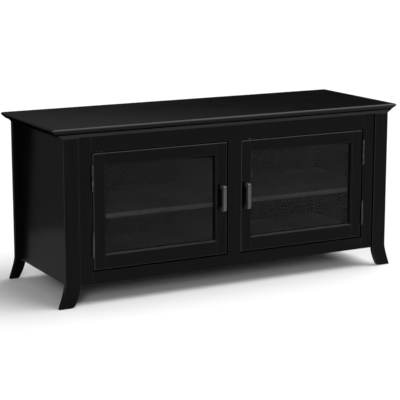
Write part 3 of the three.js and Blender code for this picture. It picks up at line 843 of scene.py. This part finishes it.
def make_shelf_pin(row, wall):
    low, high = span(f"shelf_pin_right_{row}_{wall}")
    centre = (low + high) / 2
    start = Vector((low.x, centre.y, centre.z))
    end = Vector((high.x, centre.y, centre.z))
    pin = turned("pin", start, end, 0, SHELF_PIN_RADIUS, SHELF_PIN_END, SMALL_SIDES)
    wall_low, wall_high = span("side_panel_right" if wall == "outer" else "centre_partition")
    thickness = SHELF_PIN_FLANGE_THICKNESS
    if wall == "outer":
        face = wall_low.x - SHELF_PIN_FLANGE_GAP - thickness
    else:
        face = wall_high.x + SHELF_PIN_FLANGE_GAP
    flange = turned("flange", (face, centre.y, centre.z), (face + thickness, centre.y, centre.z),
                    0, SHELF_PIN_FLANGE, SHELF_PIN_FLANGE_EASE, SMALL_SIDES)
    combine(pin, [flange], "UNION")
    dress(pin, NICKEL)
    register_pair(pin, f"pin_*_{row}_{wall}", "cabinet", "nickel", f"shelf_pin_*_{row}_{wall}")


make_shelves()
for pin_row in ("front", "back"):
    for pin_wall in ("inner", "outer"):
        make_shelf_pin(pin_row, pin_wall)

# ---------------------------------------------------------------- doors


def door_member(node, name, grain):
    """One member of the right door's frame, with its rabbet behind and its chamfer in front."""
    low, high = span(node)
    glass_low, glass_high = span("door_right_glass")
    lap = RABBET_WIDTH - GLASS_PLAY
    across = 0 if grain == "z" else 2
    towards = 1 if (low + high)[across] < (glass_low + glass_high)[across] else -1
    window = glass_low[across] + lap if towards > 0 else glass_high[across] - lap
    ends = ()
    if grain == "x":
        ends = (glass_low.x + lap + RAIL_END_PLAY, glass_high.x - lap - RAIL_END_PLAY)
        low.x, high.x = ends
    front = low.y
    rabbet = front + RABBET_FROM_FACE
    piece = blank(low, (high.x, rabbet, high.z), name)
    dress(piece, LACQUER[grain], EDGE_WEAR_AND_HIGHLIGHT[grain])
    step = Vector((0, 0, 0))
    step[across] = window - towards * RABBET_WIDTH
    normal = Vector((0, 0, 0))
    normal[across] = 1
    slice_at(piece, step, normal)
    pull_faces(
        piece,
        lambda face: face.normal.y > 0.9
        and (step[across] - face.calc_center_median()[across]) * towards > 0,
        (0, high.y - rabbet, 0),
    )
    inner_corner = edges(grain, **{"y": front, "xyz"[across]: window})
    round_edges(piece, inner_corner, DOOR_CHAMFER, 1)
    if grain == "x":
        slice_at(piece, (0, front + DOOR_CHAMFER, 0), (0, 1, 0))
        for sign, end in zip((-1, 1), ends):
            move_points(piece, points(x=end, y=front), (sign * DOOR_CHAMFER, 0, 0))
    outer = low[across] if towards > 0 else high[across]

    def outline(edge):
        rim = along(edge, grain) and near(middle(edge)[across], outer)
        cap = grain == "z" and along(edge, "x")
        return near(middle(edge).y, front) and (rim or cap)

    round_edges(piece, outline, DOOR_OUTER_ROUND, 5, paint=1, fullness=FLAT_ROUND)
    def arris(edge):
        if not edge.is_manifold or edge.calc_face_angle() <= math.radians(ARRIS_ANGLE):
            return False
        return not any(near(middle(edge).x, end, RAIL_END_PLAIN) for end in ends)

    round_edges(piece, arris, DOOR_ARRIS, 2, paint=1)
    return piece


def make_glazing_bead():
    low, high = span("door_right_glazing_bead")
    width = RABBET_WIDTH - GLASS_PLAY
    bead = blank(low, high, "bead")
    dress(bead, LACQUER["x"], EDGE_WEAR_AND_HIGHLIGHT["x"])
    window = blank((low.x + width, low.y - CUTTER_OVERSHOOT, low.z + width),
                   (high.x - width, high.y + CUTTER_OVERSHOOT, high.z - width), "cutter")
    combine(bead, [window], "DIFFERENCE")
    uprights = edges(x=(low.x + width, high.x - width), y=high.y)
    levels = edges(y=high.y, z=(low.z + width, high.z - width))
    round_edges(bead, lambda edge: uprights(edge) or levels(edge), GLAZING_BEAD_ROUND, 4, paint=1)
    register_pair(bead, "glazing_bead_*", "door_*", "lacquered_wood", "door_*_glazing_bead")


def make_pull():
    """A short bow of flat section: a bar, rounded at its ends, on two feet."""
    low, high = span("door_right_pull")
    bar_back = low.y + PULL_BAR
    pull = blank(low, (high.x, bar_back, high.z), "pull")
    dress(pull, PEWTER)
    feet = (low.z + PULL_FOOT, high.z - PULL_FOOT)
    for height in feet:
        slice_at(pull, (0, 0, height), (0, 0, 1))

    def foot_face(face):
        return face.normal.y > 0.9 and not feet[0] < face.calc_center_median().z < feet[1]

    pull_faces(pull, foot_face, (0, high.y - bar_back, 0))
    round_edges(pull, edges("x", y=low.y, z=(low.z, high.z)), PULL_OUTER_ROUND, 7)
    round_edges(pull, edges("x", y=bar_back, z=feet), PULL_INNER_ROUND, 5)
    ease(pull, PULL_EASE, 3, 50)
    register_pair(pull, "pull_*", "door_*", "pewter", "door_*_pull")


def make_door():
    members = (("hinge_stile", "z"), ("latch_stile", "z"), ("top_rail", "x"), ("bottom_rail", "x"))
    for member, grain in members:
        piece = door_member(f"door_right_{member}", member, grain)
        register_pair(piece, f"{member}_*", "door_*", "lacquered_wood", f"door_*_{member}")
    pane = blank(*span("door_right_glass"), "pane")
    dress(pane, GLASS)
    ease(pane, GLASS_EASE, 1)
    register_pair(pane, "pane_*", "door_*", "glass", "door_*_glass")
    make_glazing_bead()
    make_pull()
    plate = blank(*span("door_right_strike_plate"), "plate")
    dress(plate, NICKEL)
    round_edges(plate, edges("y"), STRIKE_CORNER, 5)
    ease(plate, STRIKE_EASE, 2, 50)
    register_pair(plate, "strike_*", "door_*", "nickel", "door_*_strike_plate")


def make_pull_screws():
    """Two pan-headed screws that hold the pull from behind the latch stile."""
    low, high = span("door_right_pull")
    back = span("door_right_latch_stile")[1].y
    heads = []
    for height in (low.z + PULL_FOOT / 2, high.z - PULL_FOOT / 2):
        face = ((low.x + high.x) / 2, back + PULL_SCREW_HEIGHT, height)
        heads.append(screw_head(face, (0, 1, 0), PULL_SCREW_RADIUS, PULL_SCREW_HEIGHT,
                                PULL_SCREW_ROUND))
    gather(heads[0], heads[1:])
    dress(heads[0], NICKEL)
    register_pair(heads[0], "pull_screws_*", "door_*", "nickel")


def make_catch():
    low, high = span("magnetic_catch_right")
    shell_front = low.y + POLE_REACH
    body = blank((low.x, shell_front, low.z), high, "catch")
    dress(body, CATCH_PLASTIC, NICKEL)
    ease(body, CATCH_EASE, 3)
    plate_low, plate_high = span("door_right_strike_plate")
    centre = (low.z + high.z) / 2
    poles = []
    for level in (-1, 1):
        height = centre + level * POLE_LEVEL
        half = POLE_THICKNESS / 2
        pole = blank((plate_low.x, low.y, height - half),
                     (plate_high.x - POLE_INSET, shell_front - POLE_GAP, height + half), "pole")
        dress(pole, CATCH_PLASTIC, NICKEL)
        for polygon in pole.data.polygons:
            polygon.material_index = 1
        ease(pole, POLE_EASE, 2)
        poles.append(pole)
    gather(body, poles)
    register_pair(body, "catch_*", "cabinet", "catch_plastic", "magnetic_catch_*")


# ---------------------------------------------------------------- hinges


def screw_head(face, aim, radius, depth, corner):
    """A cross-slotted screw head whose flat lies at `face` and looks along `aim`."""
    face, aim = Vector(face), Vector(aim)
    head = turned("screw", face - aim * depth, face, 0, radius, corner, SMALL_SIDES)
    across = [index for index in range(3) if abs(aim[index]) < 0.5]
    slots = []
    for long_way, short_way in (across, reversed(across)):
        half = Vector((SCREW_SLOT_DEPTH, SCREW_SLOT_DEPTH, SCREW_SLOT_DEPTH))
        half[long_way] = radius * SCREW_SLOT_SHARE
        half[short_way] = SCREW_SLOT_WIDTH / 2
        slots.append(blank(face - half, face + half, "slot"))
    combine(head, slots, "DIFFERENCE")
    return head


def barrel(level):
    """The middle of a right-hand hinge's pin, and the bottom and top of its leaves."""
    low, high = span(f"hinge_right_{level}_pin")
    leaf_low, leaf_high = span(f"hinge_right_{level}_frame_leaf")
    return (low + high) / 2, leaf_low.z, leaf_high.z


def hinge_leaf(level, leaf, first):
    """One leaf with its screws and its knuckles, every second one of the barrel's five."""
    axis, bottom, top = barrel(level)
    back = span(f"hinge_right_{level}_{leaf}_leaf")[1].y
    inwards = -1 if leaf == "door" else 1
    face = axis.x + inwards * LEAF_FIT
    near_x, far_x = sorted((face, face + inwards * LEAF_THICKNESS))
    front = axis.y + KNUCKLE_RADIUS + LEAF_FROM_BARREL
    plate = blank((near_x, front, bottom), (far_x, back, top), "leaf")
    round_edges(plate, edges("x", y=back), LEAF_CORNER, 4)
    pitch = (top - bottom) / KNUCKLES
    parts = []
    for knuckle in range(first, KNUCKLES, 2):
        start = bottom + knuckle * pitch + (KNUCKLE_GAP / 2 if knuckle else 0)
        last = knuckle == KNUCKLES - 1
        end = bottom + (knuckle + 1) * pitch - (0 if last else KNUCKLE_GAP / 2)
        parts.append(blank((near_x, axis.y + KNUCKLE_BORE + TAB_FROM_BORE, start),
                           (far_x, front + TAB_LAP, end), "tab"))
        parts.append(turned("knuckle", (axis.x, axis.y, start), (axis.x, axis.y, end),
                            KNUCKLE_BORE, KNUCKLE_RADIUS, KNUCKLE_CHAMFER))
    combine(plate, parts, "UNION")
    aim = Vector((-inwards, 0, 0))
    sinks = []
    heads = []
    for shift in HINGE_SCREW_PLACES:
        centre = Vector((face, (front + back) / 2, (bottom + top) / 2 + shift))
        reach = Vector((SCREW_SINK, 0, 0))
        sinks.append(rod(HINGE_SCREW_RADIUS + SCREW_SINK_PLAY, centre - reach, centre + reach,
                         "x", SMALL_SIDES, "sink"))
        heads.append(screw_head(centre - aim * HINGE_SCREW_BELOW, aim, HINGE_SCREW_RADIUS,
                                HINGE_SCREW_DEPTH, HINGE_SCREW_EASE))
    combine(plate, sinks, "DIFFERENCE")
    gather(plate, heads)
    dress(plate, HINGE_STEEL)
    return plate


def make_hinge(level):
    for leaf, body, first in (("frame", "cabinet", 0), ("door", "door_*", 1)):
        piece = hinge_leaf(level, leaf, first)
        register_pair(piece, f"hinge_*_{level}_{leaf}_plate", body, "hinge_steel",
                      f"hinge_*_{level}_{leaf}_leaf")
    low, high = span(f"hinge_right_{level}_pin")
    axis, bottom, top = barrel(level)
    lap = TIP_GAP + HINGE_PIN_LAP
    pin = turned("pin", (axis.x, axis.y, bottom - lap), (axis.x, axis.y, top + lap),
                 0, HINGE_PIN_RADIUS, HINGE_PIN_EASE, SMALL_SIDES)
    tips = []
    for start, end in ((low.z, bottom - TIP_GAP), (top + TIP_GAP, high.z)):
        tips.append(turned("tip", (axis.x, axis.y, start), (axis.x, axis.y, end),
                           0, (high.x - low.x) / 2, TIP_ROUND, segments=4))
    combine(pin, tips, "UNION")
    dress(pin, HINGE_STEEL)
    register_pair(pin, f"hinge_*_{level}_turned_pin", "cabinet", "hinge_steel",
                  f"hinge_*_{level}_pin")


make_door()
make_pull_screws()
make_catch()
for hinge_level in ("top", "bottom"):
    make_hinge(hinge_level)

# ---------------------------------------------------------------- studio

FLOOR_SIZE = 80
SKY_DARK = 0.012
SKY_LOW = 0.095
SKY_OVERHEAD = 0.35
SKY_STOPS = ((0.0, SKY_DARK), (0.119, SKY_DARK), (0.124, SKY_LOW), (0.45, SKY_LOW),
             (0.7, SKY_OVERHEAD), (1.0, SKY_OVERHEAD))
SKY_SLANT = 0.052
SKY_SEEN = 0.96
FLAG_LIFT = 0.003
FLAG_REACH = 9
FAR_FLAG_FROM = 0.8
FAR_FLAG_LEVEL = 0.17
NEAR_FLAG_FROM = 0.05
NEAR_FLAG_INNER = 0.63
NEAR_FLAG_LEVEL = 0.38
BAND_FLAG_BEHIND = 0.35
BAND_FLAG_INNER = 0.45
BAND_FLAG_OUTER = 0.665
BAND_FLAG_SLANT = 0.035
BAND_FLAG_BOTTOM = 0.02
BAND_FLAG_TOP = 0.5


def make_floor():
    deselect_all()
    bpy.ops.mesh.primitive_plane_add(size=FLOOR_SIZE, location=(0, 0, 0))
    floor = bpy.context.object
    floor.name = "studio_floor"
    material, shader, add, links = new_material("pale_floor")
    plain = stretched_place(add, links)
    clouds = noise(add, links, plain, scale=1.5, detail=2, roughness=0.5)
    links.new(blend_colours(add, links, clouds, (0.88, 0.88, 0.88), (0.9, 0.9, 0.9)),
              shader.inputs["Base Color"])
    shader.inputs["Roughness"].default_value = 0.9
    shader.inputs["Specular IOR Level"].default_value = 0
    dress(floor, material)


def flag_card(name, centre, size, turn=0):
    """A flat card, lying down or stood up by a turn about X."""
    deselect_all()
    bpy.ops.mesh.primitive_plane_add(size=1, location=centre, rotation=(turn, 0, 0))
    card = bpy.context.object
    card.name = name
    card.scale = (*size, 1)
    set_in_place(card)
    return card


def make_flag(card, level):
    """Makes a card a flag that only reflections see, glowing at `level` (black at 0): a painted reflection
    that keeps the black lacquer black.
    """
    material, shader, _, _ = new_material(card.name)
    shader.inputs["Base Color"].default_value = (0, 0, 0, 1)
    shader.inputs["Specular IOR Level"].default_value = 0
    shader.inputs["Emission Color"].default_value = (level, level, level, 1)
    shader.inputs["Emission Strength"].default_value = 1
    dress(card, material)
    card.visible_camera = False
    card.visible_diffuse = False
    card.visible_transmission = False
    card.visible_shadow = False


def floor_flag(name, low_x, high_x, low_y, high_y, level):
    centre = ((low_x + high_x) / 2, (low_y + high_y) / 2, FLAG_LIFT)
    make_flag(flag_card(name, centre, (high_x - low_x, high_y - low_y)), level)


def band_flag(sign):
    """A black card stood behind a side, whose outer edge slants outwards towards the top; seen only in
    reflections, it paints a dark band along the rear of the side.
    """
    middle_x = sign * (BAND_FLAG_INNER + BAND_FLAG_OUTER) / 2
    centre = (middle_x, BAND_FLAG_BEHIND, (BAND_FLAG_BOTTOM + BAND_FLAG_TOP) / 2)
    size = (BAND_FLAG_OUTER - BAND_FLAG_INNER, BAND_FLAG_TOP - BAND_FLAG_BOTTOM)
    card = flag_card("band_flag", centre, size, turn=math.pi / 2)
    move_points(card, points(x=sign * BAND_FLAG_OUTER, z=BAND_FLAG_TOP),
                (sign * BAND_FLAG_SLANT, 0, 0))
    make_flag(card, 0)


def add_flags():
    floor_flag("far_floor_flag", -FLAG_REACH, FLAG_REACH, FAR_FLAG_FROM, FLAG_REACH, FAR_FLAG_LEVEL)
    for sign in (-1, 1):
        inner, outer = sorted((sign * NEAR_FLAG_INNER, sign * FLAG_REACH))
        floor_flag("near_floor_flag", inner, outer, NEAR_FLAG_FROM, FAR_FLAG_FROM, NEAR_FLAG_LEVEL)
        band_flag(sign)


def make_world():
    """A dome that is pale to the camera and dim, brighter overhead, in what the lacquer mirrors."""
    world = bpy.data.worlds.new("soft_dome")
    world.use_nodes = True
    nodes, links = world.node_tree.nodes, world.node_tree.links
    place = nodes.new("ShaderNodeTexCoord")
    slant = nodes.new("ShaderNodeVectorMath")
    slant.operation = "DOT_PRODUCT"
    slant.inputs[1].default_value = (-SKY_SLANT, 0, 1)
    ramp = nodes.new("ShaderNodeValToRGB")
    elements = ramp.color_ramp.elements
    while len(elements) < len(SKY_STOPS):
        elements.new(0.5)
    for element, (position, level) in zip(elements, SKY_STOPS):
        element.position = position
        element.color = (level, level, level, 1)
    links.new(place.outputs["Generated"], slant.inputs[0])
    links.new(slant.outputs["Value"], ramp.inputs[0])
    rays = nodes.new("ShaderNodeLightPath")
    seen = nodes.new("ShaderNodeMix")
    seen.data_type = "RGBA"
    seen.inputs["B"].default_value = (SKY_SEEN, SKY_SEEN, SKY_SEEN, 1)
    links.new(rays.outputs["Is Camera Ray"], seen.inputs["Factor"])
    links.new(ramp.outputs[0], seen.inputs["A"])
    links.new(seen.outputs["Result"], nodes["Background"].inputs[0])
    bpy.context.scene.world = world


def add_sun(name, strength, spread_angle, tilt, turn, in_gloss=True):
    data = bpy.data.lights.new(name, "SUN")
    data.energy = strength
    data.angle = math.radians(spread_angle)
    sun = bpy.data.objects.new(name, data)
    sun.rotation_euler = (math.radians(tilt), 0, math.radians(turn))
    sun.visible_glossy = in_gloss
    bpy.context.scene.collection.objects.link(sun)


make_floor()
add_flags()
make_world()
add_sun("soft_key", strength=2.95, spread_angle=60, tilt=30, turn=72)
add_sun("low_fill", strength=1.15, spread_angle=18, tilt=68, turn=-32, in_gloss=False)
bpy.context.scene.view_settings.view_transform = "Standard"
